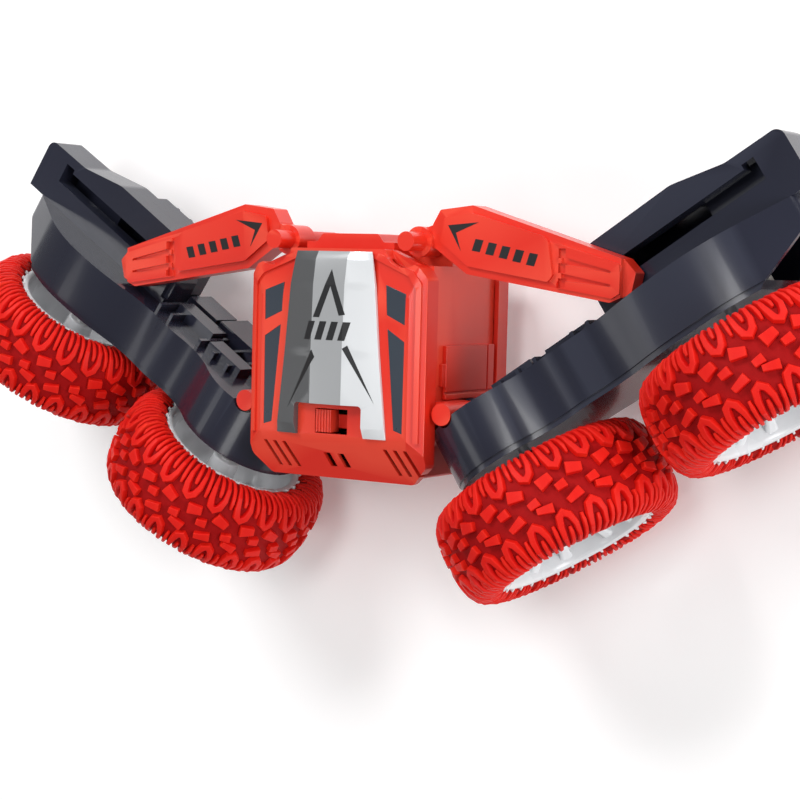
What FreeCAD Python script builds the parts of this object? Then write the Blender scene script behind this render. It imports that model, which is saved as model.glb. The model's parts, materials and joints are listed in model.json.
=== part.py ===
"""Radio-controlled stunt car: a red two-faced body between two black swing arms, each with two wheels.

Row frame: millimetres, +Z up, +Y towards the slotted ends of the arms, +X to the right-hand arm.
The origin is on the ground under the middle of the car, which stands with its arms swung out.

Arm frame, used for everything that an arm carries: +Y runs along the arm from its hinge pin, +X points
outwards to the wheels, and Z is zero on the car's middle plane. The body frame has its origin half way
between the two hinge pins, on the same middle plane.
"""

import FreeCAD, Part
import math
import os
import re

from FreeCAD import Rotation, Vector

# name, value in millimetres or degrees, what it is
DIMENSIONS = [
    ("splay", 56.3, "angle from the car's length to each arm at rest"),
    ("origin_back", -14.55, "body frame's place along Y"),
    ("wheel_radius", 43.0, "tyre's outer radius"),
    ("rim_radius", 28.7, "radius of the rim's lip"),
    ("rim_half_width", 14.2, "half the rim's width"),
    ("wheel_offset", 46.2, "hinge pin to the wheel's middle plane"),
    ("rear_axle_along", 9.0, "hinge pin to the rear axle, along the arm"),
    ("wheelbase", 92.5, "rear axle to front axle"),
    ("axle_radius", 2.0, "radius of each axle and hinge pin"),
    ("running_gap", 0.05, "radial clearance of a shaft that turns"),
    ("hinge_half_gap", 43.0, "half the distance between the hinge pins"),
    ("frame_half_height", 21.0, "half the thickness of the middle frame"),
    ("frame_half_width", 36.0, "half the width of the middle frame"),
    ("wall", 1.8, "thickness of moulded walls"),
    ("boss_radius", 3.9, "outer radius of the hinge bosses"),
    ("boss_low", 5.0, "lowest point of an upper hinge boss"),
    ("boss_high", 25.4, "cap of an upper hinge boss"),
    ("eye_radius", 5.0, "radius of the arm's hinge eye"),
    ("eye_half_height", 4.6, "half the height of the arm's hinge eye"),
    ("case_inner", 2.2, "hinge pin to the gearbox case's inner face"),
    ("case_outer", 22.6, "hinge pin to the gearbox case's open side"),
    ("lid_thickness", 2.0, "thickness of the gearbox lid"),
    ("case_lobe", 26.5, "radius of the case around the rear axle"),
    ("case_waist", 18.6, "half height of the case between the wheels"),
    ("case_shoulder", 25.0, "half height of the case behind the front wheel"),
    ("block_top", 9.0, "top of the slotted block"),
    ("block_bottom", 6.0, "underside of the slotted block, below the middle plane"),
    ("slot_width", 6.6, "width of the slider slot"),
    ("slot_depth", 7.4, "depth of the slider slot"),
    ("slot_centre", 10.6, "hinge pin to the slot's middle, inwards"),
    ("link_pivot_x", 28.6, "half the distance between the link pivots"),
    ("link_pivot_y", 60.0, "body frame to the link pivots"),
    ("ear_height", 8.8, "half the height of the ears that hold the link shafts"),
    ("link_low", 10.2, "underside of the link"),
    ("link_high", 20.0, "top of the link"),
    ("knuckle_radius", 5.4, "radius of the link's knuckle"),
    ("slider_radius", 1.4, "radius of the link's slider pin"),
    ("slider_along", 72.0, "hinge pin to the slider at rest, along the arm"),
    ("slider_inward", 9.1, "hinge pin to the slider at rest, inwards"),
    ("gear_module", 1.25, "pitch diameter over teeth"),
    ("gear_thickness", 5.0, "thickness of the drive gears"),
    ("gear_inner", 15.6, "hinge pin to the drive gears' inner faces"),
]
AXLE_TEETH = 26
IDLER_TEETH = 16
IDLERS = 3

doc = FreeCAD.newDocument("stunt_car")
sheet = doc.addObject("Spreadsheet::Sheet", "dims")
for row, (name, value, meaning) in enumerate(DIMENSIONS, start=1):
    sheet.set(f"A{row}", name)
    sheet.set(f"B{row}", str(value))
    sheet.set(f"C{row}", meaning)
    sheet.setAlias(f"B{row}", name)
doc.recompute()
dim = {name: value for name, value, _ in DIMENSIONS}

nodes = []


def bind(obj, **expressions):
    """Binds properties of obj to expressions in the sheet's names; __ stands for a property's dot."""
    names = "|".join(dim)
    for name, text in expressions.items():
        obj.setExpression(name.replace("__", "."), re.sub(rf"(?<![\w.])({names})\b", r"dims.\1", text))
    return obj


def move(obj, x="0", y="0", z="0"):
    """Places obj at a point given as expressions."""
    return bind(obj, Placement__Base__x=x, Placement__Base__y=y, Placement__Base__z=z)


def box(x, y, z, dx, dy, dz):
    """A box from its lowest corner and its size, all expressions."""
    obj = doc.addObject("Part::Box", "box")
    bind(obj, Length=dx, Width=dy, Height=dz)
    return move(obj, x, y, z)


def cylinder(radius, height, x="0", y="0", z="0", axis=Vector(0, 0, 1)):
    """A cylinder from the middle of its first end, along axis."""
    obj = doc.addObject("Part::Cylinder", "cylinder")
    bind(obj, Radius=radius, Height=height)
    obj.Placement.Rotation = Rotation(Vector(0, 0, 1), axis)
    return move(obj, x, y, z)


def barrel(radius, length, x="0", y="0"):
    """A cylinder along +X from the middle of its first end."""
    return cylinder(radius, length, x, y, "0", Vector(1, 0, 0))


def fuse(*objs):
    obj = doc.addObject("Part::MultiFuse", "fuse")
    obj.Shapes = list(objs)
    obj.Refine = True
    return obj


def cut(base, *tools):
    obj = doc.addObject("Part::Cut", "cut")
    obj.Base = base
    obj.Tool = tools[0] if len(tools) == 1 else fuse(*tools)
    return obj


def common(*objs):
    obj = doc.addObject("Part::MultiCommon", "common")
    obj.Shapes = list(objs)
    return obj


def group(*objs):
    obj = doc.addObject("Part::Compound", "group")
    obj.Links = list(objs)
    return obj


def outline(points, radius=0.0):
    """Lines round points, each corner rounded by radius, as (kind, geometry) for a sketch."""
    edges, ends = [], []
    n = len(points)
    for i in range(n):
        a, b, c = (Vector(*points[k % n], 0) for k in (i - 1, i, i + 1))
        r = radius[i] if isinstance(radius, (list, tuple)) else radius
        before, after = (a - b).normalize(), (c - b).normalize()
        half = before.getAngle(after) / 2
        if r <= 0 or abs(half - math.pi / 2) < 1e-3:
            ends.append((b, b, None))
            continue
        back = r / math.tan(half)
        centre = b + (before + after).normalize() * (r / math.sin(half))
        middle = centre + (b - centre).normalize() * r
        ends.append((b + before * back, b + after * back, middle))
    for i in range(n):
        start, end = ends[i][1], ends[(i + 1) % n][0]
        if (end - start).Length > 1e-6:
            edges.append(Part.LineSegment(start, end))
        low, high, middle = ends[(i + 1) % n]
        if middle is not None:
            edges.append(Part.Arc(low, middle, high))
    return edges


TOP_PLANE = Rotation()
SIDE_PLANE = Rotation(Vector(0, 1, 0), Vector(0, 0, 1), Vector(1, 0, 0), "ZXY")
END_PLANE = Rotation(Vector(1, 0, 0), Vector(0, 0, 1), Vector(0, -1, 0), "ZXY")


def drawn(points, plane=TOP_PLANE, radius=0.0, x="0", y="0", z="0"):
    """A sketched outline. TOP_PLANE reads X, Y; SIDE_PLANE reads Y, Z; END_PLANE reads X, Z."""
    sketch = doc.addObject("Sketcher::SketchObject", "outline")
    sketch.addGeometry(outline(points, radius), False)
    sketch.Placement.Rotation = plane
    return move(sketch, x, y, z)


def prism(points, length, plane=TOP_PLANE, radius=0.0, x="0", y="0", z="0"):
    """A sketched outline drawn out by length, an expression: TOP_PLANE goes up, SIDE_PLANE goes along
    +X and END_PLANE along -Y."""
    obj = doc.addObject("Part::Extrusion", "prism")
    obj.Base = drawn(points, plane, radius, x, y, z)
    obj.DirMode = "Normal"
    obj.Solid = True
    return bind(obj, LengthFwd=length)


def mirrored_points(points):
    """An outline given for +X only, closed by its mirror image."""
    return points + [(-x, y) for x, y in reversed(points)]


def flipped(obj, normal):
    """The mirror image of obj in the plane through the origin."""
    twin = doc.addObject("Part::Mirroring", "flipped")
    twin.Source = obj
    twin.Normal = normal
    return twin


def node(label, obj):
    obj.Label = label
    nodes.append(obj)
    return obj


def body_node(label, obj):
    """A node drawn in the body frame."""
    held = group(obj)
    move(held, "0", "origin_back", "wheel_radius")
    return node(label, held)


def arm_nodes(label, obj, along="0", outward="0"):
    """A right and a left node from one piece drawn in the arm frame."""
    held = group(obj)
    held.Placement.Rotation = Rotation(Vector(0, 0, 1), -dim["splay"])
    move(
        held,
        f"hinge_half_gap + ({along}) * sin(splay * 1 deg) + ({outward}) * cos(splay * 1 deg)",
        f"origin_back + ({along}) * cos(splay * 1 deg) - ({outward}) * sin(splay * 1 deg)",
        "wheel_radius",
    )
    node("right_" + label, held)
    node("left_" + label, flipped(held, Vector(1, 0, 0)))


def side_nodes(label, obj):
    """A right and a left node from one piece drawn in the body frame."""
    held = group(obj)
    move(held, "0", "origin_back", "wheel_radius")
    node("right_" + label, held)
    node("left_" + label, flipped(held, Vector(1, 0, 0)))


def gear(teeth, phase):
    """A spur gear of straight-flanked teeth about Z, with its first tooth at phase degrees."""
    module, thickness = dim["gear_module"], dim["gear_thickness"]
    pitch = teeth * module / 2
    root, tip = pitch - 1.25 * module, pitch + 0.8 * module
    step = 2 * math.pi / teeth
    corners = []
    for k in range(teeth):
        middle = math.radians(phase) + k * step
        for share, radius in ((-0.27, root), (-0.12, tip), (0.12, tip), (0.27, root)):
            angle = middle + share * step
            corners.append((radius * math.cos(angle), radius * math.sin(angle)))
    return prism(corners, "gear_thickness")


def turned_outward(obj):
    """Turns a piece drawn about Z so that its axis lies along the arm frame's +X."""
    held = group(obj)
    held.Placement.Rotation = Rotation(Vector(0, 1, 0), 90)
    return held


# ---------------------------------------------------------------- body


def make_frame():
    """The middle frame: a hollow ring with hinge bosses at its rear and link ears at its front."""
    corners = [(12, 62.5), (14.5, 59.5), (33, 59.5), (36, 56), (36, -5), (27.5, -13), (27.5, -25)]
    rim = mirrored_points(corners)
    inner = mirrored_points([(33.5, 49.5), (33.5, -4), (25, -12), (25, -22.5)])
    plate = prism(rim, "2 * frame_half_height", radius=1.5, z="-frame_half_height")
    hollow = prism(inner, "2 * frame_half_height", radius=1.5, z="-frame_half_height")
    solids, cuts = [plate], [hollow]
    for side in (1, -1):
        for low in ("boss_low", "-boss_high"):
            tall = "boss_high - boss_low"
            solids.append(cylinder("boss_radius", tall, f"{side} * hinge_half_gap", "0", low))
        for low in ("boss_low", "-frame_half_height"):
            solids.append(box(f"{side} * 36.5 - 6.5", "-3", low, "13", "7", "frame_half_height - boss_low"))
        for low, height in (("-50", "50 - ear_height"), ("ear_height", "50")):
            cuts.append(box(f"{side} * 34 - 15", "51.5", low, "30", "20", height))
    for side in (1, -1):
        pivot = f"{side} * link_pivot_x"
        solids.append(cylinder("3.4", "2 * ear_height", pivot, "link_pivot_y", "-ear_height"))
        web = (f"{pivot} - 3.4", "49.6", "-ear_height")
        solids.append(box(*web, "6.8", "link_pivot_y - 49.6", "2 * ear_height"))
    bores = []
    for side in (1, -1):
        bores.append(cylinder("axle_radius", "49", f"{side} * hinge_half_gap", "0", "-24.5"))
        pivot = f"{side} * link_pivot_x"
        bores.append(cylinder("axle_radius + running_gap", "60", pivot, "link_pivot_y", "-30"))
    body_node("mid_frame", cut(fuse(*solids), *cuts, *bores))


SHELL_PLAN = [(20, 57), (35, 51), (38, 47), (38, -19), (31, -26)]


def shell_solid(inset, edge=0.0):
    """A body shell's outer form, or its inside where inset is the wall: what its plan, side and end
    outlines have in common. edge narrows the plan alone."""
    step = inset + edge
    plan = mirrored_points([(x - step, y - math.copysign(step, y)) for x, y in SHELL_PLAN])
    high = 30.5 - inset
    side = [
        (-26 + inset, 20),
        (-26 + inset, 23 - inset / 2),
        (-10, high),
        (40, high),
        (57 - inset, 28.6 - inset),
        (57 - inset, 20),
    ]
    end = mirrored_points([(38 - inset, 20), (38 - inset, 28.2 - inset), (32, high)])
    return common(
        prism(plan, "14", radius=3.0, z="frame_half_height"),
        prism(side, "100", plane=SIDE_PLANE, x="-50"),
        prism(end, "120", plane=END_PLANE, y="70", radius=0.6),
    )


def bead():
    """The raised bead just inside a shell's edge."""
    return cut(shell_solid(-0.8, 2.4), shell_solid(-2.0, 5.4), box("-50", "-60", "0", "100", "49.5", "60"))


def vents():
    """The slanted louvre slots at the rear corners of a shell."""
    made = []
    for side in (1, -1):
        for k in range(3):
            x = side * (30.5 - 4.2 * k)
            slot = [(x - 0.8, -13.5), (x + 0.8, -13.5), (x + 0.8 + 4.4, -22.8), (x - 0.8 + 4.4, -22.8)]
            made.append(prism(slot, "20", z="frame_half_height"))
    for x in (-3.0, 3.0):
        mark = [(x - 2.2, -16.5), (x + 0.6, -16.5), (x + 2.6, -21.5), (x - 0.2, -21.5)]
        made.append(prism(mark, "20", z="frame_half_height"))
    return made


def scooped(shell):
    """The shell with a round scoop at each front corner, which clears the link shafts."""
    floors, scoops = [], []
    for side in ("", "-"):
        centre = (f"{side}(link_pivot_x)", "link_pivot_y - 1")
        floors.append(cylinder("10.2", "4.4", *centre, "frame_half_height"))
        scoops.append(cylinder("8.4", "20", *centre, "frame_half_height + 3.4"))
    return cut(fuse(shell, common(fuse(*floors), shell_solid(0.0))), *scoops)


WINDOWS = (
    [(22.2, 44.5), (30.6, 41.5), (30.4, 30.6), (22.8, 34)],
    [(23.2, 29.2), (30.4, 24.8), (30.2, -7.5), (26.6, -6.4)],
)


def window_prisms(depth, low):
    """The four dark window panes, each depth thick from height low."""
    made = []
    for pane in WINDOWS:
        made.append(prism(pane, depth, z=low))
        made.append(prism([(-x, y) for x, y in pane], depth, z=low))
    return made


def make_shells():
    """The red shells on both faces of the body, with the panes let into them."""
    hollow = cut(fuse(shell_solid(0.0), bead()), shell_solid(dim["wall"]))
    shell = cut(scooped(hollow), *vents(), *window_prisms("5", "29.7"))
    slot = box("-7", "-9.3", "frame_half_height", "14", "9", "20")
    body_node("top_shell", cut(shell, slot))
    body_node("bottom_shell", flipped(cut(shell, *shell_screws(0.05)), Vector(0, 0, 1)))
    panes = group(*window_prisms("0.7", "29.7"))
    body_node("top_windows", panes)
    body_node("bottom_windows", flipped(panes, Vector(0, 0, 1)))


# half the distance between the hood's creases
HOOD_CREASE = 6.8
# each cross-section of the hood: place along the body, half width, outer edge's height, creases' height
HOOD_SECTIONS = [
    (56, 16.2, 30.7, 30.9),
    (53, 16.8, 31.1, 32.6),
    (44, 18.3, 31.7, 34),
    (20, 20.4, 31.7, 34.8),
    (-6, 23.3, 31.5, 35),
    (-10, 23.7, 30.8, 32.4),
]


def hood_solid():
    """The raised hood panel: three long facets, lofted through its cross-sections."""
    rings = []
    for y, half, edge, high in HOOD_SECTIONS:
        corners = mirrored_points([(half, 30.55), (half, edge), (HOOD_CREASE, high)])
        rings.append(drawn(corners, plane=END_PLANE, y=str(y)))
    panel = doc.addObject("Part::Loft", "hood_panel")
    panel.Sections = rings
    panel.Solid = True
    panel.Ruled = True
    return panel


def make_hoods():
    """The silver hood on the top face, notched round the switch, and the battery door below."""
    corners = [(-14.6, 1.5), (14.6, 1.5), (14.6, -20), (-14.6, -20)]
    notch = prism(corners, "20", z="25", radius=[1.5, 1.5, 0, 0])
    body_node("top_hood", cut(hood_solid(), notch))
    finger = prism([(-7, -3), (7, -3), (5, -7), (-5, -7)], "10", z="33.8")
    body_node("battery_door", flipped(cut(hood_solid(), finger), Vector(0, 0, 1)))


def make_switch():
    """The power switch's ribbed knob, which slides across the car in the shell's slot."""
    knob = box("-6.6", "-8.9", "25.5", "6.6", "8.2", "5.3")
    base = box("-6.6", "-7.5", "24", "13.4", "5", "1.5")
    grooves = [box(f"-5.9 + {k} * 1.25", "-9", "30.2", "0.55", "9", "1") for k in range(5)]
    body_node("power_switch", fuse(cut(knob, *grooves), base))


def make_hatches():
    """The hatch on each side of the frame, with its seams and a lug over it."""
    hatch = box("frame_half_width", "4.3", "-19", "1.8", "19.2", "33")
    groove = box("frame_half_width + 1", "6.3", "-30", "2", "0.8", "60")
    seam = box("frame_half_width + 1", "0", "-15", "2", "40", "0.8")
    lug = box("frame_half_width", "9", "14", "1.4", "8", "2.2")
    side_nodes("side_hatch", fuse(cut(hatch, groove, seam), lug))


def shell_screws(gap):
    """The lower shell's screws, as seen from below, or their holes where gap is the clearance."""
    made = []
    for x in ("-33.5", "33.5"):
        for y in ("-15", "46.5"):
            shank = cylinder(f"1.2 + {gap}", "6", x, y, "23.5")
            made.append(fuse(shank, cylinder(f"2.2 + {gap}", "1.4", x, y, "29")))
    return made


def make_body_fixings():
    """The arms' hinge pins, and the screws that hold the lower shell."""
    pins = []
    for side in (1, -1):
        pins.append(cylinder("axle_radius - 0.01", "48.8", f"{side} * hinge_half_gap", "0", "-24.4"))
    body_node("hinge_pins", group(*pins))
    body_node("shell_screws", flipped(group(*shell_screws(0)), Vector(0, 0, 1)))


def make_innards():
    """What the body holds: battery, circuit board, swing servo."""
    cells = [cylinder("7", "46", f"{x}", "46", "-8", Vector(0, -1, 0)) for x in (-7.2, 7.2)]
    body_node("battery_pack", group(*cells))
    board = box("-24", "-8", "10", "48", "52", "1.6")
    chips = [box("-14", "8", "11.6", "10", "10", "1.5"), box("4", "22", "11.6", "12", "7", "2")]
    body_node("circuit_board", fuse(board, *chips))
    servo = box("-11", "-21", "-16", "22", "13", "24")
    flange = box("-15", "-21", "-2", "30", "13", "2")
    horn = cylinder("3", "3.4", "4", "-14.5", "8")
    body_node("swing_servo", fuse(servo, flange, horn))


# ---------------------------------------------------------------- swing arms


def case_profile(inset):
    """The gearbox case seen from the wheel side: a round lobe about the rear axle, a waist and a long
    shoulder, as (along, height) points with their corner radii."""
    lobe = dim["case_lobe"] - inset
    waist = dim["case_waist"] - inset
    shoulder = dim["case_shoulder"] - inset
    rear, front = dim["rear_axle_along"], dim["rear_axle_along"] + dim["wheelbase"]
    end = front + dim["wheel_radius"] - 1 - inset
    turn = math.tan(math.radians(15)) * lobe
    upper = [
        (rear - lobe, lobe, lobe),
        (rear + turn, lobe, lobe),
        (rear + 23, waist - 1, 30),
        (rear + 39, waist + 1.6, 42),
        (rear + 55, waist, 50),
        (front - 15, shoulder, 90),
        (front + 12, shoulder, 50),
        (end, 8 - inset / 2, 6),
    ]
    lower = [(u, -z, r) for u, z, r in reversed(upper)]
    return [(u, z) for u, z, r in upper + lower], [r for u, z, r in upper + lower]


def case_prism(inset, start, length):
    """The case's profile drawn outwards from start."""
    points, radii = case_profile(inset)
    return prism(points, length, plane=SIDE_PLANE, radius=radii, x=start)


def end_trim():
    """What is cut from the case's outer front corner, so that it tapers in behind the front wheel."""
    corner = [(6, 146), (12.5, 141.5), (23.5, 122), (40, 110), (40, 160), (6, 160)]
    return prism(corner, "100", z="-50", radius=[0, 8, 8, 0, 0, 0])


def axle_holes(radius):
    """Cylinders along X for the holes of both axles."""
    return [barrel(radius, "60", "0", f"rear_axle_along + {k} * wheelbase") for k in (0, 1)]


def motor_housing():
    """The stepped, ribbed housing on the gearbox's inner face, over the drive motor."""
    blocks = [
        box("-4.2", "14", "-20", "7", "30", "17"),
        box("-3.2", "46", "-16", "6", "16", "13"),
        box("-1.8", "16", "4.5", "4", "18", "8"),
        box("-2.6", "38", "-1", "5", "20", "8"),
    ]
    ribs = [box("-0.8", f"{u}", "-17", "4", "1.4", "32") for u in (20, 28, 36, 53, 60)]
    return blocks + ribs


def make_gearbox():
    """The gearbox case with the hinge eye, and its lid."""
    outer = case_prism(0.0, "case_inner", "case_outer - case_inner")
    room = case_prism(dim["wall"], "case_inner + 5", "case_outer")
    relief = cylinder("boss_radius + 0.8", "60", "0", "0", "-30")
    eye = cylinder("eye_radius", "2 * eye_half_height", "0", "0", "-eye_half_height")
    web = box("0", "-eye_radius", "-eye_half_height", "8", "2 * eye_radius", "2 * eye_half_height")
    pin = cylinder("axle_radius + running_gap", "60", "0", "0", "-30")
    pillars = []
    for k in range(IDLERS):
        reach = AXLE_TEETH / 2 + IDLER_TEETH / 2 * (2 * k + 1)
        pillars.append(barrel("1.5", "case_outer - 6.5", "6", f"rear_axle_along + {reach} * gear_module"))
    body = cut(outer, room, relief, end_trim())
    whole = cut(fuse(body, eye, web), pin, *axle_holes("axle_radius + running_gap"))
    arm_nodes("gearbox_case", fuse(whole, *pillars, *motor_housing()))
    lid = case_prism(0.6, "case_outer", "lid_thickness")
    flanges = []
    for k in (0, 1):
        along = f"rear_axle_along + {k} * wheelbase"
        flanges.append(barrel("6", "1.2", "case_outer + lid_thickness", along))
    lid = fuse(cut(lid, end_trim()), *flanges)
    arm_nodes("gearbox_lid", cut(lid, *axle_holes("axle_radius + running_gap")))


BLOCK_PLAN = [(2.2, 64.5), (-8, 64.5), (-24, 71.5), (-24.3, 108), (-19.6, 128), (-19.3, 150), (2.2, 150)]
BLOCK_CORNERS = [0, 2, 3, 12, 12, 3.5, 0]


def arm_screws(gap):
    """The screws that hold a slotted block's covers together, or their holes where gap is the
    clearance."""
    made = []
    for inward, along in (("-19.8", "117"), ("-14.5", "143")):
        shank = cylinder(f"1 + {gap}", f"6 + {gap}", inward, along, "-5.4")
        made.append(fuse(shank, cylinder(f"1.9 + {gap}", "1", inward, along, "-6.4")))
    return made


def make_slotted_block():
    """The block that the link's slider runs along: a slotted upper cover, and a lower cover with a
    ribbed pod under it."""
    slab = prism(BLOCK_PLAN, "block_top", radius=BLOCK_CORNERS)
    slot = box("-slot_centre - slot_width / 2", "69", "block_top - slot_depth", "slot_width", "68.3", "10")
    head = box("-slot_centre - slot_width / 2 - 1.8", "132.5", "block_top - slot_depth", "3", "4.8", "10")
    room = box("-17.6", "73", "0", "17.6", "66", "2.4")
    ledge = box("-30", "60", "6.8", "30", "6.6", "5")
    holes = fuse(*arm_screws(0.05))
    arm_nodes("arm_top_cover", cut(slab, slot, head, room, ledge, holes))
    lower = prism(BLOCK_PLAN, "block_bottom", radius=BLOCK_CORNERS, z="-block_bottom")
    room_low = box("-17.6", "73", "-block_bottom + wall", "17.6", "66", "block_bottom - wall")
    pod_plan = [(2.2, 69), (-13, 69), (-21, 76), (-21, 106), (-16, 113), (2.2, 113)]
    pod = prism(pod_plan, "13", radius=1.5, z="-block_bottom - 13")
    hollow_plan = [(0.6, 71), (-12, 71), (-19, 77), (-19, 105), (-15, 111), (0.6, 111)]
    hollow = prism(hollow_plan, "16", z="-block_bottom - 11")
    ribs = [box("-21", f"{u}", "-block_bottom - 13.8", "23.2", "1.4", "2") for u in (82, 90, 98)]
    arm_nodes("arm_bottom_cover", fuse(cut(fuse(lower, pod), room_low, hollow, holes), *ribs))


def make_drive():
    """The drive motor and the gear train that turns both of an arm's wheels together."""
    can = box("7.6", "19", "2", "7", "25", "12")
    nose = cylinder("2.5", "2", "11", "44", "8", Vector(0, 1, 0))
    arm_nodes("drive_motor", fuse(can, nose))
    along = AXLE_TEETH / 2 * dim["gear_module"]
    for k in range(IDLERS):
        along += IDLER_TEETH / 2 * dim["gear_module"]
        half_tooth = 180 / IDLER_TEETH if k % 2 == 0 else 0
        wheel = cut(gear(IDLER_TEETH, 90 + half_tooth), cylinder("1.5 + running_gap", "30", z="-10"))
        arm_nodes(f"idler_{k + 1}", turned_outward(wheel), f"rear_axle_along + {along}", "gear_inner")
        along += IDLER_TEETH / 2 * dim["gear_module"]


# ---------------------------------------------------------------- wheels


TYRE_SECTION = [(-13, 28.75), (-14.5, 29.7), (-17.2, 33.4), (-18, 37), (-14.4, 41.6), (-7, 43)]


def revolved(label, half_section, radius):
    """A ring turned about X from the -X half of its section, as a PartDesign body."""
    ring = doc.addObject("PartDesign::Body", label)
    sketch = ring.newObject("Sketcher::SketchObject", label + "_section")
    plane = [f for f in ring.Origin.OriginFeatures if f.Role == "XY_Plane"][0]
    sketch.AttachmentSupport = [(plane, "")]
    sketch.MapMode = "FlatFace"
    points = half_section + [(-x, y) for x, y in reversed(half_section)]
    sketch.addGeometry(outline(points, radius), False)
    turn = ring.newObject("PartDesign::Revolution", label + "_turn")
    turn.Profile = sketch
    turn.ReferenceAxis = (sketch, ["H_Axis"])
    turn.Angle = 360
    return ring


def make_wheels():
    """Tyre, rim, axle and axle gear of each wheel."""
    for k, name in enumerate(("rear", "front")):
        along = f"rear_axle_along + {k} * wheelbase"
        tyre = revolved(f"{name}_tyre_ring", TYRE_SECTION, 2.0)
        arm_nodes(f"{name}_tyre", tyre, along, "wheel_offset")
        arm_nodes(f"{name}_rim", rim_solid(name), along, "wheel_offset")
        shaft = barrel("axle_radius", "wheel_offset - 0.4", "7.4 - wheel_offset")
        collar = barrel("3.5", "1.4", "gear_inner + gear_thickness - wheel_offset")
        arm_nodes(f"{name}_axle", fuse(shaft, collar), along, "wheel_offset")
        wheel = cut(gear(AXLE_TEETH, 90), cylinder("axle_radius + 0.01", "30", z="-10"))
        arm_nodes(f"{name}_axle_gear", turned_outward(wheel), along, "gear_inner")
        arm_nodes(f"{name}_hub_cap", barrel("3.6", "4", "7.1"), along, "wheel_offset")


def rim_solid(name):
    """The rim: a hoop with a lip at each side, a hub, and five forked spokes."""
    half, radius = dim["rim_half_width"], dim["rim_radius"]
    section = [(-half, radius - 3.1), (-half, radius), (-half + 1.4, radius), (-half + 2.6, radius - 1.3)]
    hoop = revolved(f"{name}_rim_ring", section, 0.4)
    hub = cut(barrel("6.5", "17", "-10"), barrel("axle_radius + 0.01", "60", "-30"))
    arch = [(-1, 4.5), (6.2, 4.5), (4.6, 14), (6.4, 22), (11.2, 26.4), (3.5, 26.4), (1.2, 20), (-1, 12)]
    spokes = []
    for k in range(5):
        for lean in (-11, 11):
            spoke = prism(arch, "3.2", plane=END_PLANE, radius=[0, 0, 8, 6, 0, 0, 4, 6], y="1.6")
            turn = group(spoke)
            turn.Placement.Rotation = Rotation(Vector(1, 0, 0), 72 * k + lean)
            spokes.append(turn)
    return fuse(hoop, hub, *spokes)


# ---------------------------------------------------------------- links


LINK_PLAN = [
    (34, 58.2),
    (47.8, 49),
    (103.5, 40.8),
    (110.5, 44),
    (112, 51),
    (107.5, 55.6),
    (49.7, 72.9),
    (36.5, 71.3),
    (33.4, 66),
]
LINK_FACE = [
    (37.5, 60),
    (48.6, 51.8),
    (80.5, 47.1),
    (82.3, 49.4),
    (80.3, 61),
    (78.2, 62.6),
    (49.8, 70.2),
    (39, 68.5),
]


def make_links():
    """The link between each front corner of the body and the slider in its arm's slot."""
    px, py = dim["link_pivot_x"], dim["link_pivot_y"]
    plate = prism(LINK_PLAN, "link_high - link_low - 1.4", z="link_low", radius=1.0)
    face = prism(LINK_FACE, "1.4", z="link_high - 1.4", radius=1.2)
    tail = [(83.4, 45.2), (104.5, 42.2), (108.6, 44.6), (106.9, 53.8), (84.2, 60), (84.6, 52)]
    end = prism(tail, "0.9", z="link_high - 1.4", radius=0.5)
    knuckle = cylinder("knuckle_radius", "link_high - link_low", "link_pivot_x", "link_pivot_y", "link_low")
    neck_plan = [(px, py - 3.5), (px + 9, py - 1.5), (px + 9, py + 7), (px, py + 4.5)]
    neck = prism(neck_plan, "link_high - link_low - 1.6", z="link_low")
    grooves = []
    for near, far in ((47.6, 46.6), (53.2, 51.2)):
        wedge = [(85.5, near), (104, far - 0.5), (104, far + 0.3), (85.5, near + 2.6)]
        grooves.append(prism(wedge, "3", z="link_high - 1.9"))
    for low in (46.2, 51.2, 56.2):
        grooves.append(box("83.8", f"{low} - 0.9", "link_high - 2.4", "3.2", "3.2", "3"))
    nose = prism([(107.4, 30), (120, 30), (120, 80), (107.4, 80)], "10", z="link_high - 3.2")
    splay = math.radians(dim["splay"])
    along, inward = dim["slider_along"], dim["slider_inward"]
    sx = dim["hinge_half_gap"] + along * math.sin(splay) - inward * math.cos(splay)
    sy = along * math.cos(splay) + inward * math.sin(splay)
    seat = cylinder("slider_radius", "6", f"{sx}", f"{sy}", "link_low - 1")
    bore = cylinder("axle_radius - 0.01", "60", "link_pivot_x", "link_pivot_y", "-30")
    side_nodes("link_arm", cut(fuse(plate, face, end, knuckle, neck), bore, seat, nose, *grooves))
    cap = cylinder("3.4", "8.6", "link_pivot_x", "link_pivot_y", "link_high")
    shaft = cylinder("axle_radius - 0.01", "link_high + 12", "link_pivot_x", "link_pivot_y", "-12")
    foot = cylinder("3.2", "2.6", "link_pivot_x", "link_pivot_y", "-12")
    side_nodes("link_shaft", fuse(cap, shaft, foot))
    slider = cylinder("slider_radius - 0.01", "10.8", f"{sx}", f"{sy}", "block_top - 4.8")
    side_nodes("slider_pin", slider)


def write_parts():
    """Checks every object and writes each node's STEP file."""
    doc.recompute()
    bad = [o.Name for o in doc.Objects if "Invalid" in o.State or "Error" in o.State]
    if bad:
        raise RuntimeError(f"objects that failed to build: {bad}")
    os.makedirs("parts", exist_ok=True)
    for old in os.listdir("parts"):
        os.remove(os.path.join("parts", old))
    low, high = Vector(1e9, 1e9, 1e9), Vector(-1e9, -1e9, -1e9)
    for obj in nodes:
        shape = obj.Shape
        if shape.isNull() or not shape.isValid() or not shape.Solids:
            raise RuntimeError(f"{obj.Label} has no valid solid")
        shape.exportStep(f"parts/{obj.Label}.step")
        b = shape.BoundBox
        low = Vector(min(low.x, b.XMin), min(low.y, b.YMin), min(low.z, b.ZMin))
        high = Vector(max(high.x, b.XMax), max(high.y, b.YMax), max(high.z, b.ZMax))
    print(len(nodes), "nodes, box", low, high, "middle", (low + high) / 2)


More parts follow.
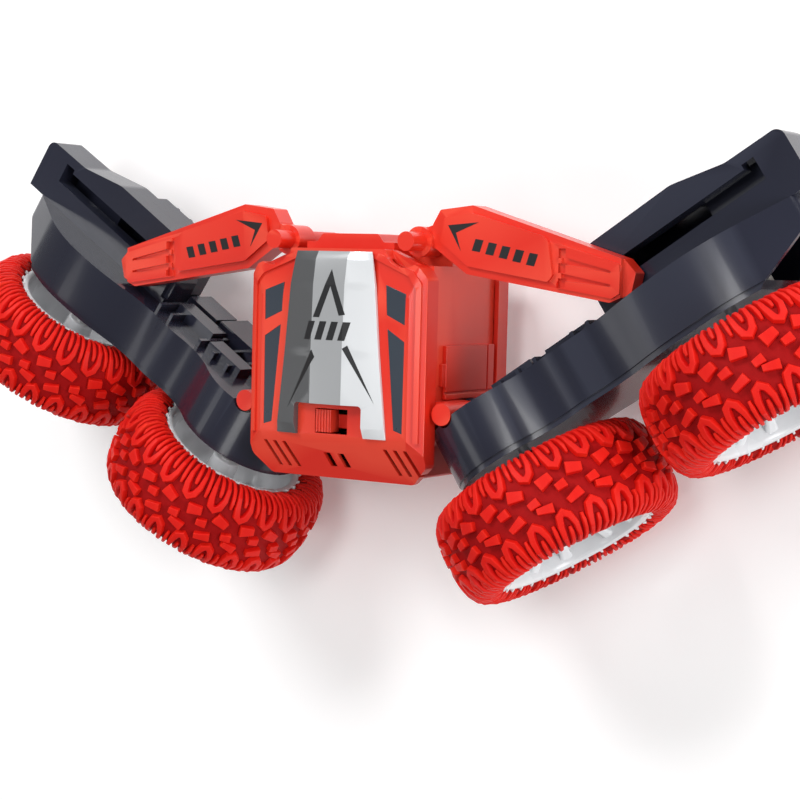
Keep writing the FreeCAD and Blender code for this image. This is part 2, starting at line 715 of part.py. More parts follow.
make_frame()
make_shells()
make_hoods()
make_switch()
make_hatches()
make_body_fixings()
make_innards()
make_gearbox()
make_slotted_block()
make_drive()
arm_nodes("arm_screws", group(*arm_screws(0)))
make_wheels()
make_links()
write_parts()
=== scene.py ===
"""The radio-controlled stunt car's looks: materials, tyre treads, rims, decals, light and camera."""
import bpy
import bmesh
import json
import math
from mathutils import Matrix, Vector


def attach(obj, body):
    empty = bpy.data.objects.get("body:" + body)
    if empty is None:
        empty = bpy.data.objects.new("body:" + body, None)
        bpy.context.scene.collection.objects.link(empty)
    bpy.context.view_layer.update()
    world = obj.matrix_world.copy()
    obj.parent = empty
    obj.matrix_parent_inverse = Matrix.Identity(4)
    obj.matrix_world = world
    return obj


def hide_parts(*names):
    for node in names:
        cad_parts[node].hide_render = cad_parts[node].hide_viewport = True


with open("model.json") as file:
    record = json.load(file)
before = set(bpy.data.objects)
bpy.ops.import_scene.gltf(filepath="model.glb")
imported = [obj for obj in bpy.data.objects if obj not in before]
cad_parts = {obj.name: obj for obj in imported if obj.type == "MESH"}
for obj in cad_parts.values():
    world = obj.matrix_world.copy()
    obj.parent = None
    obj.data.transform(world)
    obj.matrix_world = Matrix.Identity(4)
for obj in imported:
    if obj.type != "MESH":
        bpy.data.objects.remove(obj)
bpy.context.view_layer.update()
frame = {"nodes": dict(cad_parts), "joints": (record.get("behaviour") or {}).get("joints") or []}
nodes = frame["nodes"]
joints = {j["name"]: j for j in frame["joints"]}
MM = 0.001


# ---------------------------------------------------------------- materials


def graph(name):
    """A new material, its node tree and its shader."""
    mat = bpy.data.materials.new(name)
    mat.use_nodes = True
    tree = mat.node_tree
    return mat, tree, tree.nodes["Principled BSDF"]


def ramp(tree, source, low, high, start=0.3, end=0.7):
    """Maps source to a colour between low and high."""
    made = tree.nodes.new("ShaderNodeValToRGB")
    made.color_ramp.elements[0].position = start
    made.color_ramp.elements[1].position = end
    made.color_ramp.elements[0].color = low
    made.color_ramp.elements[1].color = high
    tree.links.new(source, made.inputs["Fac"])
    return made


def spread(tree, source, low, high):
    """Maps source from 0..1 to low..high."""
    made = tree.nodes.new("ShaderNodeMapRange")
    made.inputs["To Min"].default_value = low
    made.inputs["To Max"].default_value = high
    tree.links.new(source, made.inputs["Value"])
    return made.outputs["Result"]


def noise(tree, scale, detail=4.0, stretch=(1, 1, 1)):
    """Noise fixed to the object, finer with scale, drawn out along an axis by a small stretch."""
    where = tree.nodes.new("ShaderNodeTexCoord")
    place = tree.nodes.new("ShaderNodeMapping")
    place.inputs["Scale"].default_value = stretch
    tree.links.new(where.outputs["Object"], place.inputs["Vector"])
    made = tree.nodes.new("ShaderNodeTexNoise")
    made.inputs["Scale"].default_value = scale
    made.inputs["Detail"].default_value = detail
    tree.links.new(place.outputs["Vector"], made.inputs["Vector"])
    return made.outputs["Fac"]


def bump(tree, shader, source, strength, distance):
    """Fine relief from source, without moving the surface."""
    made = tree.nodes.new("ShaderNodeBump")
    made.inputs["Strength"].default_value = strength
    made.inputs["Distance"].default_value = distance
    tree.links.new(source, made.inputs["Height"])
    tree.links.new(made.outputs["Normal"], shader.inputs["Normal"])


def worn(tree, colour, paler, amount=0.5):
    """Mixes colour with paler on the sharp edges, where handling rubs them."""
    shape = tree.nodes.new("ShaderNodeNewGeometry")
    edge = tree.nodes.new("ShaderNodeMapRange")
    edge.inputs["From Min"].default_value = 0.52
    edge.inputs["From Max"].default_value = 0.62
    edge.inputs["To Max"].default_value = amount
    tree.links.new(shape.outputs["Pointiness"], edge.inputs["Value"])
    mix = tree.nodes.new("ShaderNodeMix")
    mix.data_type = "RGBA"
    tree.links.new(edge.outputs["Result"], mix.inputs["Factor"])
    tree.links.new(colour, mix.inputs["A"])
    mix.inputs["B"].default_value = paler
    return mix.outputs["Result"]


def plastic(name, dark, light, rough, coat=0.0, grain=0.012, pale=None, sheen=0.5):
    """Moulded plastic: a faint flow mottle in its colour, uneven gloss, fine moulding grain and
    hairline scuffs, and paler edges."""
    mat, tree, shader = graph(name)
    mottle = ramp(tree, noise(tree, 9.0, 3.0), dark, light)
    colour = mottle.outputs["Color"]
    if pale is not None:
        colour = worn(tree, colour, pale, 0.35)
    tree.links.new(colour, shader.inputs["Base Color"])
    smudge = noise(tree, 38.0, 6.0, (1.0, 0.35, 1.0))
    tree.links.new(spread(tree, smudge, rough * 0.72, rough * 1.35), shader.inputs["Roughness"])
    bump(tree, shader, noise(tree, 900.0, 2.0), grain, 0.0004)
    shader.inputs["Specular IOR Level"].default_value = sheen
    shader.inputs["Coat Weight"].default_value = coat
    shader.inputs["Coat Roughness"].default_value = 0.08
    return mat


def grey(v, a=1.0):
    return (v, v, v, a)


RED = plastic(
    "moulded_red", (0.62, 0.014, 0.005, 1), (0.76, 0.026, 0.009, 1), 0.34, 0.12, pale=(0.92, 0.12, 0.06, 1)
)
RED_LINK = plastic(
    "link_red", (0.66, 0.018, 0.007, 1), (0.80, 0.032, 0.012, 1), 0.32, 0.2, pale=(0.94, 0.13, 0.07, 1)
)
BLACK = plastic(
    "gloss_black",
    (0.012, 0.013, 0.024, 1),
    (0.020, 0.022, 0.038, 1),
    0.20,
    0.25,
    0.005,
    pale=(0.05, 0.055, 0.08, 1),
    sheen=0.36,
)
DARK = plastic(
    "satin_black",
    (0.014, 0.014, 0.017, 1),
    (0.026, 0.026, 0.032, 1),
    0.42,
    0.0,
    0.03,
    pale=(0.06, 0.06, 0.07, 1),
)
SLATE = plastic("window_slate", (0.024, 0.032, 0.045, 1), (0.040, 0.052, 0.070, 1), 0.26, 0.25, 0.008)
WHITE = plastic("rim_white", (0.70, 0.71, 0.73, 1), (0.82, 0.83, 0.85, 1), 0.26, 0.3, 0.008)
NYLON = plastic("nylon", (0.62, 0.60, 0.53, 1), (0.74, 0.72, 0.66, 1), 0.45)
WRAP = plastic("battery_wrap", (0.02, 0.10, 0.28, 1), (0.03, 0.14, 0.36, 1), 0.35)
BOARD = plastic("board", (0.01, 0.10, 0.035, 1), (0.02, 0.15, 0.05, 1), 0.4)
INK = plastic("printed_ink", (0.006, 0.006, 0.007, 1), (0.014, 0.014, 0.016, 1), 0.38, 0.0, 0.02)


def steel():
    """Brushed steel of pins, axles and screws."""
    mat, tree, shader = graph("steel")
    mottle = ramp(tree, noise(tree, 30), grey(0.42), grey(0.60))
    tree.links.new(mottle.outputs["Color"], shader.inputs["Base Color"])
    tree.links.new(spread(tree, noise(tree, 120, 3.0, (8, 1, 1)), 0.22, 0.42), shader.inputs["Roughness"])
    bump(tree, shader, noise(tree, 700, 2.0, (10, 1, 1)), 0.03, 0.0002)
    shader.inputs["Metallic"].default_value = 1.0
    return mat


def rubber(name, dark, light, edge, dull):
    """Soft red rubber with a fine moulded grain, slightly polished where dull is low."""
    mat, tree, shader = graph(name)
    mottle = ramp(tree, noise(tree, 16.0, 5.0), dark, light)
    tree.links.new(worn(tree, mottle.outputs["Color"], edge, 0.5), shader.inputs["Base Color"])
    tree.links.new(spread(tree, noise(tree, 55.0, 5.0), dull, dull + 0.22), shader.inputs["Roughness"])
    bump(tree, shader, noise(tree, 1300.0, 3.0), 0.10, 0.0003)
    shader.inputs["Specular IOR Level"].default_value = 0.16
    return mat


def hood_facet_shading(crease):
    """The hood's three facets, parted at the creases: dark grey, light grey and white, which are painted
    shade and painted light on a single silver-white plastic.
    """
    mat, tree, shader = graph("hood_pearl")
    where = tree.nodes.new("ShaderNodeTexCoord")
    split = tree.nodes.new("ShaderNodeSeparateXYZ")
    tree.links.new(where.outputs["Object"], split.inputs["Vector"])
    band = tree.nodes.new("ShaderNodeMapRange")
    band.inputs["From Min"].default_value = -3 * crease
    band.inputs["From Max"].default_value = 3 * crease
    tree.links.new(split.outputs["X"], band.inputs["Value"])
    facet_shade = tree.nodes.new("ShaderNodeValToRGB")
    facet_shade.color_ramp.interpolation = "CONSTANT"
    # Darkest grey on the left facet and white on the right facet: painted shade and painted light across one
    # silver-white plastic.
    facet_shade.color_ramp.elements[0].color = (0.115, 0.118, 0.122, 1)
    facet_shade.color_ramp.elements[1].position = 1 / 3
    facet_shade.color_ramp.elements[1].color = (0.43, 0.44, 0.45, 1)
    last = facet_shade.color_ramp.elements.new(2 / 3)
    last.color = (0.80, 0.82, 0.84, 1)
    tree.links.new(band.outputs["Result"], facet_shade.inputs["Fac"])
    mottle = ramp(tree, noise(tree, 14.0, 3.0), grey(0.90), grey(1.0))
    mix = tree.nodes.new("ShaderNodeMix")
    mix.data_type = "RGBA"
    mix.blend_type = "MULTIPLY"
    mix.inputs["Factor"].default_value = 1.0
    tree.links.new(facet_shade.outputs["Color"], mix.inputs["A"])
    tree.links.new(mottle.outputs["Color"], mix.inputs["B"])
    tree.links.new(mix.outputs["Result"], shader.inputs["Base Color"])
    tree.links.new(spread(tree, noise(tree, 60.0, 5.0, (1, 0.3, 1)), 0.18, 0.32), shader.inputs["Roughness"])
    bump(tree, shader, noise(tree, 1100.0, 2.0), 0.02, 0.0003)
    shader.inputs["Metallic"].default_value = 0.25
    shader.inputs["Coat Weight"].default_value = 0.4
    shader.inputs["Coat Roughness"].default_value = 0.1
    return mat


RUBBER = rubber(
    "tread_lugs", (0.56, 0.003, 0.003, 1), (0.76, 0.008, 0.005, 1), (0.95, 0.045, 0.016, 1), 0.38
)
# The same red rubber as the lugs, painted darker on the tyre's plain surface: painted shade for the hollows
# between the lugs.
SHADED_TREAD_FLOOR = rubber(
    "tread_floor", (0.26, 0.001, 0.002, 1), (0.38, 0.002, 0.002, 1), (0.5, 0.01, 0.006, 1), 0.60
)
STEEL = steel()
# The hood's three grey tones are painted shade and painted light, split at the creases 6.8 mm either side of
# the middle.
HOOD = hood_facet_shading(6.8 * MM)


def finish_of(node):
    """The material of a CAD node, from its name."""
    part = node.replace("right_", "").replace("left_", "")
    if part in ("top_hood", "battery_door"):
        return HOOD
    if part in ("link_arm", "link_shaft"):
        return RED_LINK
    if part in ("mid_frame", "top_shell", "bottom_shell", "power_switch", "side_hatch"):
        return RED
    if part in ("top_windows", "bottom_windows"):
        return SLATE
    if part in ("gearbox_case", "gearbox_lid", "arm_top_cover", "arm_bottom_cover"):
        return BLACK
    if part.endswith("tyre"):
        return RUBBER
    if part.endswith("rim") or part.endswith("hub_cap"):
        return WHITE
    if part.endswith("axle_gear") or part.startswith("idler"):
        return NYLON
    if part == "battery_pack":
        return WRAP
    if part == "circuit_board":
        return BOARD
    if part == "swing_servo":
        return DARK
    return STEEL


# how far each kind of node's sharp edges are softened, in millimetres
BEVELS = {
    "top_shell": 0.5,
    "bottom_shell": 0.5,
    "top_hood": 0.35,
    "battery_door": 0.35,
    "mid_frame": 0.4,
    "link_arm": 0.35,
    "gearbox_case": 0.6,
    "gearbox_lid": 0.4,
    "arm_top_cover": 0.8,
    "arm_bottom_cover": 0.8,
    "side_hatch": 0.3,
    "power_switch": 0.15,
    "top_windows": 0.1,
    "bottom_windows": 0.1,
    "link_shaft": 0.5,
}


def dress(node):
    """Gives a CAD node its material and softened edges."""
    obj = nodes[node]
    obj.data.materials.clear()
    obj.data.materials.append(finish_of(node))
    part = node.replace("right_", "").replace("left_", "")
    weld = obj.modifiers.new("weld", "WELD")
    weld.merge_threshold = 1e-6
    if part in BEVELS:
        bevel = obj.modifiers.new("soft_edges", "BEVEL")
        bevel.width = BEVELS[part] * MM
        bevel.segments = 3
        bevel.limit_method = "ANGLE"
        bevel.angle_limit = math.radians(32)
        bevel.use_clamp_overlap = True
        bevel.harden_normals = False
    smooth(obj)


def smooth(obj):
    """Shades obj smooth and weights its normals by face area."""
    for poly in obj.data.polygons:
        poly.use_smooth = True
    weighted = obj.modifiers.new("normals", "WEIGHTED_NORMAL")
    weighted.keep_sharp = True
    weighted.weight = 60


for name in nodes:
    dress(name)


# ---------------------------------------------------------------- making pieces


def piece(name, mesh, material, body, matrix=None):
    """A new visual piece that rides on a CAD body."""
    obj = bpy.data.objects.new(name, mesh)
    bpy.context.scene.collection.objects.link(obj)
    if matrix is not None:
        obj.matrix_world = matrix
    if material is not None and not mesh.materials:
        mesh.materials.append(material)
    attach(obj, body)
    return obj


def mesh_from(name, verts, faces):
    """A mesh with its faces turned outwards."""
    mesh = bpy.data.meshes.new(name)
    mesh.from_pydata(verts, [], faces)
    work = bmesh.new()
    work.from_mesh(mesh)
    bmesh.ops.remove_doubles(work, verts=work.verts, dist=1e-7)
    bmesh.ops.recalc_face_normals(work, faces=work.faces)
    work.to_mesh(mesh)
    work.free()
    return mesh


# ---------------------------------------------------------------- tyres

# half of the plain tyre under the lugs: distance from the middle plane, radius
SECTION = [
    (0.0, 41.0),
    (4.5, 40.9),
    (9.0, 40.3),
    (12.6, 39.2),
    (15.2, 37.4),
    (16.5, 35.0),
    (16.7, 33.0),
    (16.5, 31.2),
    (16.0, 29.9),
    (15.0, 29.0),
]


def section_at(s):
    """Point (x, r) and outward normal on the tyre's plain surface at arc length s from its crown."""
    side = -1.0 if s < 0 else 1.0
    left = abs(s)
    for (xa, ra), (xb, rb) in zip(SECTION_FINE, SECTION_FINE[1:]):
        step = math.hypot(xb - xa, rb - ra)
        if left <= step or (xb, rb) == SECTION_FINE[-1]:
            k = left / step
            x, r = xa + (xb - xa) * k, ra + (rb - ra) * k
            nx, nr = -(rb - ra) / step, (xb - xa) / step
            return side * x, r, side * nx, nr
        left -= step
    raise ValueError(s)


def fine(points, rounds=3):
    """The corners of points rounded off by repeated quarter cuts."""
    for _ in range(rounds):
        cut = [points[0]]
        for (xa, ra), (xb, rb) in zip(points, points[1:]):
            cut.append((xa * 0.75 + xb * 0.25, ra * 0.75 + rb * 0.25))
            cut.append((xa * 0.25 + xb * 0.75, ra * 0.25 + rb * 0.75))
        cut.append(points[-1])
        points = cut
    return points


SECTION_FINE = fine(SECTION)


def on_tyre(turn, s, lift):
    """A point lift above the plain tyre, turn radians round it and s across it, in metres."""
    x, r, nx, nr = section_at(s)
    x, r = x + nx * lift, r + nr * lift
    return Vector((x, r * math.cos(turn), r * math.sin(turn))) * MM


def lug(verts, faces, line, width, height, taper=0.28):
    """A raised strip along line, which lists (turn in mm at the crown, s, height share)."""
    crown = SECTION[0][1]
    rings = []
    for i, (t, s, share) in enumerate(line):
        a = line[max(i - 1, 0)]
        b = line[min(i + 1, len(line) - 1)]
        dt, ds = b[0] - a[0], b[1] - a[1]
        run = math.hypot(dt, ds) or 1.0
        nt, ns = -ds / run, dt / run
        half = (width[i] if isinstance(width, (list, tuple)) else width) / 2
        tall = height * share
        ring = []
        flank = [(1.0, -0.5), (1.0, tall * 0.35), (1 - taper, tall)]
        for across, lift in flank + [(-a, b) for a, b in reversed(flank)]:
            p = on_tyre((t + nt * half * across) / crown, s + ns * half * across, lift)
            ring.append(len(verts))
            verts.append(p)
        rings.append(ring)
    for a, b in zip(rings, rings[1:]):
        n = len(a)
        for k in range(n):
            faces.append((a[k], a[(k + 1) % n], b[(k + 1) % n], b[k]))
    faces.append(tuple(reversed(rings[0])))
    faces.append(tuple(rings[-1]))


def sweep(t, s):
    """Where a point t round the crown ends up as the shoulder pattern leans round the tyre."""
    return t + 0.0144 * max(abs(s) - 9.0, 0.0) ** 2


def claw(verts, faces, t, side, pitch):
    """One shoulder claw: an open loop whose two legs run down the sidewall."""
    outline = [
        (-0.27, 26.5, 0.9),
        (-0.30, 23, 1.2),
        (-0.31, 19.5, 1.5),
        (-0.29, 16, 1.9),
        (-0.25, 12, 2.4),
        (-0.16, 9.0, 2.9),
        (0.0, 7.4, 3.2),
        (0.16, 8.4, 3.0),
        (0.24, 11.5, 2.6),
        (0.25, 15, 2.1),
        (0.20, 18.5, 1.6),
        (0.12, 21.5, 1.0),
    ]
    line = []
    for share, s, width in outline:
        line.append((sweep(t + share * pitch, s), side * s, low_on_side(s)))
    lug(verts, faces, line, [width for share, s, width in outline], 2.0)


def low_on_side(s):
    """How much of its height a lug keeps as it runs down the sidewall."""
    return 1.0 if s < 14 else max(0.28, 1.0 - (s - 14) * 0.065)


def rib(verts, faces, t, side, start, end, width, height):
    """A straight rib down the sidewall between two claws."""
    line = []
    for k in range(8):
        s = start + (end - start) * k / 7
        line.append((sweep(t, s), side * s, (0.7 if k in (0, 7) else 1.0) * low_on_side(s)))
    lug(verts, faces, line, [width * (0.7 if k in (0, 7) else 1.0) for k in range(8)], height)


def block(verts, faces, t, s, long, wide, lean=0.0, end=1.0):
    """A centre block: long round the tyre and wide across it, narrowing to end of its width."""
    line = []
    for k in range(4):
        f = k / 3 - 0.5
        line.append((t + f * long, s + f * lean, 1.0))
    lug(verts, faces, line, [wide * (1 + (end - 1) * k / 3) for k in range(4)], 2.0, 0.14)


def tyre_mesh():
    """The plain tyre with its lugs: a claw and two ribs on each shoulder, three blocks on the crown."""
    verts, faces = [], []
    around = 240
    profile = [(-x, r) for x, r in reversed(SECTION_FINE)][:-1] + SECTION_FINE
    inner = [(14.6, 28.75), (-14.6, 28.75)]
    ring = profile + inner
    for i in range(around):
        turn = 2 * math.pi * i / around
        for x, r in ring:
            verts.append(Vector((x, r * math.cos(turn), r * math.sin(turn))) * MM)
    n = len(ring)
    for i in range(around):
        for k in range(n):
            a, b = i * n, ((i + 1) % around) * n
            faces.append((a + k, a + (k + 1) % n, b + (k + 1) % n, b + k))
    count = 24
    pitch = 2 * math.pi * SECTION[0][1] / count
    for i in range(count):
        for side in (-1, 1):
            t = pitch * (i + (0.5 if side < 0 else 0.0))
            claw(verts, faces, t, side, pitch)
            rib(verts, faces, t + 0.47 * pitch, side, 10.0, 26.0, 1.7, 1.8)
            rib(verts, faces, t - 0.03 * pitch, side, 12.4, 24.0, 1.8, 1.5)
        t = pitch * i
        odd = i % 2
        block(verts, faces, t + 0.42 * pitch, 4.2, 5.6, 3.6, 1.8 if odd else -1.2, 0.65)
        block(verts, faces, t + 0.06 * pitch, -4.3, 5.2, 3.3, -1.6 if odd else 1.4, 1.4)
        block(verts, faces, t + 0.66 * pitch, -0.8 if odd else 1.0, 3.8, 3.4, 0.6, 0.8)
    mesh = mesh_from("tyre", verts, faces)
    mesh.materials.append(RUBBER)
    mesh.materials.append(SHADED_TREAD_FLOOR)
    # The plain surface between and under the lugs takes the darker rubber, which is painted shade for the
    # hollows between the lugs.
    for poly in mesh.polygons[: around * n]:
        poly.material_index = 1
    return mesh


# ---------------------------------------------------------------- rims


def turned(verts, faces, section, around=120):
    """A ring turned about X from its closed (x, r) section in millimetres."""
    base = len(verts)
    n = len(section)
    for i in range(around):
        turn = 2 * math.pi * i / around
        for x, r in section:
            verts.append(Vector((x, r * math.cos(turn), r * math.sin(turn))) * MM)
    for i in range(around):
        a, b = base + i * n, base + ((i + 1) % around) * n
        for k in range(n):
            faces.append((a + k, a + (k + 1) % n, b + (k + 1) % n, b + k))


def spoke(verts, faces, angle, lean):
    """One leg of a forked spoke, a tapered bar that arches from the hub out to the rim."""
    stations = [
        (5.5, 7.2, 1.5, 3.6, 0.45),
        (9.0, 6.8, 1.4, 3.2, 0.62),
        (14.0, 7.6, 1.4, 3.6, 0.86),
        (19.0, 9.8, 1.6, 4.8, 1.0),
        (23.0, 12.2, 2.0, 6.4, 1.06),
        (26.0, 13.8, 2.7, 8.0, 1.1),
    ]
    rings = []
    for r, x, half, deep, share in stations:
        turn = angle + lean * share
        out = Vector((0, math.cos(turn), math.sin(turn)))
        across = Vector((0, -math.sin(turn), math.cos(turn)))
        ring = []
        for dx, w in ((0.0, -0.55), (0.0, 0.55), (-0.7, 1.0), (-deep, 0.8), (-deep, -0.8), (-0.7, -1.0)):
            p = Vector((x + dx, 0, 0)) + out * r + across * (w * half)
            ring.append(len(verts))
            verts.append(p * MM)
        rings.append(ring)
    for a, b in zip(rings, rings[1:]):
        for k in range(6):
            faces.append((a[k], a[(k + 1) % 6], b[(k + 1) % 6], b[k]))
    faces.append(tuple(reversed(rings[0])))
    faces.append(tuple(rings[-1]))


def rim_mesh():
    """The white rim: a dished hoop, a hub, five forked spokes and the nubs that key the tyre."""
    verts, faces = [], []
    lip = [
        (15.5, 28.6),
        (15.7, 28.0),
        (15.6, 26.8),
        (15.0, 25.6),
        (13.4, 24.9),
        (9.0, 24.7),
        (2.0, 25.0),
        (-6.0, 25.3),
        (-13.4, 25.5),
        (-15.0, 26.1),
        (-15.6, 27.1),
        (-15.7, 28.0),
        (-15.5, 28.6),
        (-13.4, 28.5),
        (-11.6, 27.2),
        (11.6, 27.2),
        (13.4, 28.5),
    ]
    turned(verts, faces, lip, 144)
    hub = [
        (7.2, 2.1),
        (8.2, 4.0),
        (7.9, 5.4),
        (6.8, 6.3),
        (3.0, 6.6),
        (-9.6, 5.6),
        (-10.0, 5.0),
        (-10.0, 2.1),
    ]
    turned(verts, faces, hub, 64)
    for k in range(5):
        middle = 2 * math.pi * k / 5
        for sign in (-1, 1):
            spoke(verts, faces, middle, sign * math.radians(14.5))
    for k in range(30):
        turn = 2 * math.pi * (k + 0.5) / 30
        nub(verts, faces, turn)
    return mesh_from("rim", verts, faces)


def nub(verts, faces, turn):
    """A small tooth on the rim's lip that keys the tyre's bead."""
    out = Vector((0, math.cos(turn), math.sin(turn)))
    across = Vector((0, -math.sin(turn), math.cos(turn)))
    for side in (-1, 1):
        base = len(verts)
        for x, r, half in ((14.6, 27.9, 0.55), (15.9, 28.0, 0.5), (16.5, 29.3, 0.4), (15.2, 29.6, 0.5)):
            for w in (-half, half):
                verts.append((Vector((side * x, 0, 0)) + out * r + across * w) * MM)
        quads = [(0, 2, 4, 6), (1, 7, 5, 3), (0, 1, 3, 2), (2, 3, 5, 4), (4, 5, 7, 6), (6, 7, 1, 0)]
        for q in quads:
            faces.append(tuple(base + k for k in q))


def cap_mesh():
    """The wheel nut: a domed cap on a six-sided skirt."""
    verts, faces = [], []
    turned(verts, faces, [(7.3, 2.1), (7.3, 3.5), (9.4, 3.4), (10.6, 2.7), (11.0, 1.4), (11.05, 0.05)], 6)
    turned(verts, faces, [(7.2, 2.2), (7.2, 4.5), (8.0, 4.4), (8.2, 3.6), (8.2, 2.2)], 48)
    return mesh_from("nut", verts, faces)


def wheel_matrix(name):
    """From the wheel's own frame, whose +X is its axle, to its place in the row frame."""
    joint = joints[name + "_spin"]
    out = Vector(joint["axis"]).normalized()
    up = Vector((0, 0, 1))
    along = up.cross(out)
    spot = Vector(joint["pos_m"])
    turn = Matrix((out, along, up)).transposed().to_4x4()
    return Matrix.Translation(spot) @ turn


def edge_split(obj, degrees, bevel=0.0):
    """Smooth shading that breaks at sharp edges, which are rounded first where bevel is set."""
    for poly in obj.data.polygons:
        poly.use_smooth = True
    if bevel:
        rounder = obj.modifiers.new("soft_edges", "BEVEL")
        rounder.width = bevel * MM
        rounder.segments = 2
        rounder.limit_method = "ANGLE"
        rounder.angle_limit = math.radians(degrees)
    weighted = obj.modifiers.new("normals", "WEIGHTED_NORMAL")
    weighted.keep_sharp = True


tyre, rim, nut = tyre_mesh(), rim_mesh(), cap_mesh()
WHEELS = [f"{side}_{end}_wheel" for side in ("right", "left") for end in ("rear", "front")]
for wheel in WHEELS:
    place = wheel_matrix(wheel)
    stem = wheel.replace("_wheel", "")
    tread = piece(f"{stem}_tread", tyre, RUBBER, wheel, place)
    edge_split(tread, 30, 0.28)
    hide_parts(f"{stem}_tyre")
    white = piece(f"{stem}_wheel_rim", rim, WHITE, wheel, place)
    edge_split(white, 28, 0.25)
    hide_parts(f"{stem}_rim")
    cap = piece(f"{stem}_wheel_nut", nut, WHITE, wheel, place)
    edge_split(cap, 28, 0.2)
    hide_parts(f"{stem}_hub_cap")


# ---------------------------------------------------------------- printed graphics

body_y = joints["right_arm_swing"]["pos_m"][1] / MM
body_z = joints["right_arm_swing"]["pos_m"][2] / MM


# along the body, half width, height of the outer edge, height of the creases
HOOD_SECTIONS = [
    (56, 16.2, 30.7, 30.9),
    (53, 16.8, 31.1, 32.6),
    (44, 18.3, 31.7, 34),
    (20, 20.4, 31.7, 34.8),
    (-6, 23.3, 31.5, 35),
    (-10, 23.7, 30.8, 32.4),
]


def hood_height(x, y):
    """The hood's surface above the body's middle plane, from its three cross-sections."""
    for (ya, ha, ea, ta), (yb, hb, eb, tb) in zip(HOOD_SECTIONS, HOOD_SECTIONS[1:]):
        if y >= yb:
            break
    k = (y - ya) / (yb - ya)
    half, edge, top = ha + (hb - ha) * k, ea + (eb - ea) * k, ta + (tb - ta) * k
    if abs(x) <= 6.8:
        return top
    return top + (edge - top) * (abs(x) - 6.8) / (half - 6.8)


def printed(name, shapes, height, body, step=1.0):
    """Ink printed on a surface: flat shapes cut into small cells and laid on height(x, y)."""
    work = bmesh.new()
    for points in shapes:
        work.faces.new([work.verts.new((x, y, 0)) for x, y in points])
    xs = [v.co.x for v in work.verts]
    ys = [v.co.y for v in work.verts]
    for axis, low, high in ((0, min(xs), max(xs)), (1, min(ys), max(ys))):
        lines = [low + step * k for k in range(1, int((high - low) / step) + 1)]
        if axis == 0:
            lines += [-6.8, 6.8]
        else:
            lines += [row[0] for row in HOOD_SECTIONS]
        for at in lines:
            spot, normal = [0, 0, 0], [0, 0, 0]
            spot[axis], normal[axis] = at, 1
            everything = work.verts[:] + work.edges[:] + work.faces[:]
            bmesh.ops.bisect_plane(work, geom=everything, plane_co=spot, plane_no=normal)
    for v in work.verts:
        v.co.z = height(v.co.x, v.co.y) + 0.06
    bmesh.ops.recalc_face_normals(work, faces=work.faces)
    if sum(f.normal.z for f in work.faces) < 0:
        bmesh.ops.reverse_faces(work, faces=work.faces)
    for v in work.verts:
        v.co = Vector((v.co.x, v.co.y + body_y, v.co.z + body_z)) * MM
    mesh = bpy.data.meshes.new(name)
    work.to_mesh(mesh)
    work.free()
    obj = piece(name, mesh, INK, body)
    thick = obj.modifiers.new("ink", "SOLIDIFY")
    thick.thickness = 0.05 * MM
    thick.offset = -1
    return obj


chevron = [(0.8, 49.6), (7.6, 33.6), (5.0, 33.2), (0.9, 43.6), (-3.5, 32.4), (-6.2, 32.4)]
printed("hood_chevron", [chevron], hood_height, "body")
stripes = [[(-6.3, 20.8), (-4.9, 18.2), (-18.0, -0.6)], [(6.9, 21.6), (8.9, 22.8), (19.4, 2.6)]]
printed("hood_stripes", stripes, hood_height, "body")
bars = []
for k in range(4):
    low = -10.2 + 5.0 * k
    bars.append([(low, 24.4), (low + 2.9, 24.4), (low + 5.0, 31.0), (low + 2.1, 31.0)])
printed("hood_bars", bars, hood_height, "body")

for side in (1, -1):
    stem = "right" if side > 0 else "left"
    body = f"{stem}_link"
    arrow = [(40.6, 65.9), (53.0, 67.0), (43.9, 63.3), (46.0, 57.0)]
    marks = [arrow]
    for k in range(5):
        x = 50.5 + 5.4 * k
        y = 61.4 - 0.93 * 5.4 * k * 0.22
        marks.append([(x, y - 4.2), (x + 3.2, y - 4.7), (x + 4.6, y - 0.6), (x + 1.4, y - 0.1)])
    if side < 0:
        marks = [[(-x, y) for x, y in reversed(m)] for m in marks]
    printed(f"{stem}_link_marks", marks, lambda x, y: 20.0, body, 4.0)


# ---------------------------------------------------------------- stage, light, camera

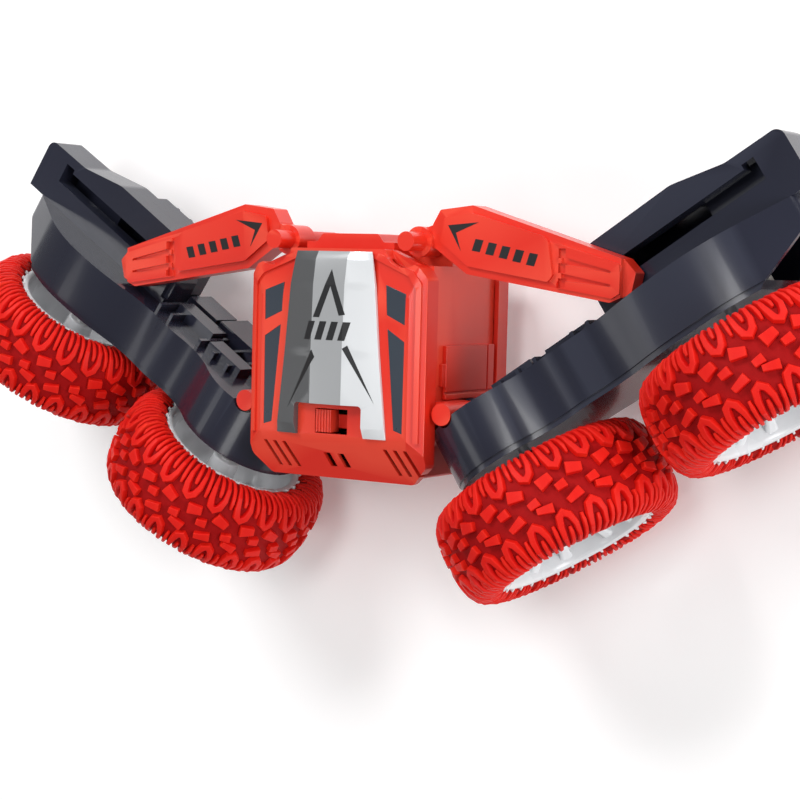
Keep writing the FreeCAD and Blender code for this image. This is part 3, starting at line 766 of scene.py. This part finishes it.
floor = bpy.data.meshes.new("floor")
reach = 6.0
corners = [(-reach, -reach, 0), (reach, -reach, 0), (reach, reach, 0), (-reach, reach, 0)]
floor.from_pydata(corners, [], [(0, 1, 2, 3)])
ground = bpy.data.objects.new("floor", floor)
bpy.context.scene.collection.objects.link(ground)
mat, tree, shader = graph("pale_floor")
mottle = ramp(tree, noise(tree, 1.5), grey(0.93), grey(0.955))
tree.links.new(mottle.outputs["Color"], shader.inputs["Base Color"])
shader.inputs["Roughness"].default_value = 0.9
shader.inputs["Specular IOR Level"].default_value = 0.1
shader.inputs["Emission Color"].default_value = (1, 1, 1, 1)
shader.inputs["Emission Strength"].default_value = 0.14
floor.materials.append(mat)


def softbox(name, spot, size, power):
    """A rectangular light at spot, aimed at the middle of the car."""
    light = bpy.data.lights.new(name, "AREA")
    light.shape = "RECTANGLE"
    light.size, light.size_y = size
    light.energy = power
    obj = bpy.data.objects.new(name, light)
    obj.location = spot
    obj.rotation_euler = (Vector((0, 0, 0.04)) - Vector(spot)).to_track_quat("-Z", "Y").to_euler()
    bpy.context.scene.collection.objects.link(obj)


softbox("key", (-0.45, 0.95, 1.1), (0.6, 0.35), 11)
softbox("left", (-0.95, -0.25, 0.95), (0.5, 0.3), 0.8)
softbox("side", (1.3, -0.15, 0.55), (0.7, 0.5), 9)
softbox("crown", (0.0, -0.75, 1.45), (0.3, 0.5), 2.2)
softbox("strip", (0.5, 1.2, 0.5), (0.9, 0.3), 5)
softbox("over", (0.25, 0.25, 1.6), (0.4, 0.6), 6)

world = bpy.data.worlds.new("studio")
bpy.context.scene.world = world
world.use_nodes = True
world.node_tree.nodes["Background"].inputs["Color"].default_value = (1, 1, 1, 1)
world.node_tree.nodes["Background"].inputs["Strength"].default_value = 0.24
bpy.context.scene.view_settings.view_transform = "Standard"

lens = bpy.data.cameras.new("camera")
camera = bpy.data.objects.new("camera", lens)
bpy.context.scene.collection.objects.link(camera)
right = Vector((0.83722, 0.02495, -0.54631))
up = Vector((-0.05903, 0.99725, -0.04491))
back = Vector((0.54368, 0.06985, 0.83638))
pivot = Vector((0, body_y, body_z))
spot = (Vector((395.28, 51.61, 593.63)) + pivot) * MM
camera.matrix_world = Matrix.Translation(spot) @ Matrix((right, up, back)).transposed().to_4x4()
lens.sensor_width = 36
lens.lens = 86.7
lens.clip_start = 0.01
lens.clip_end = 20
bpy.context.scene.camera = camera
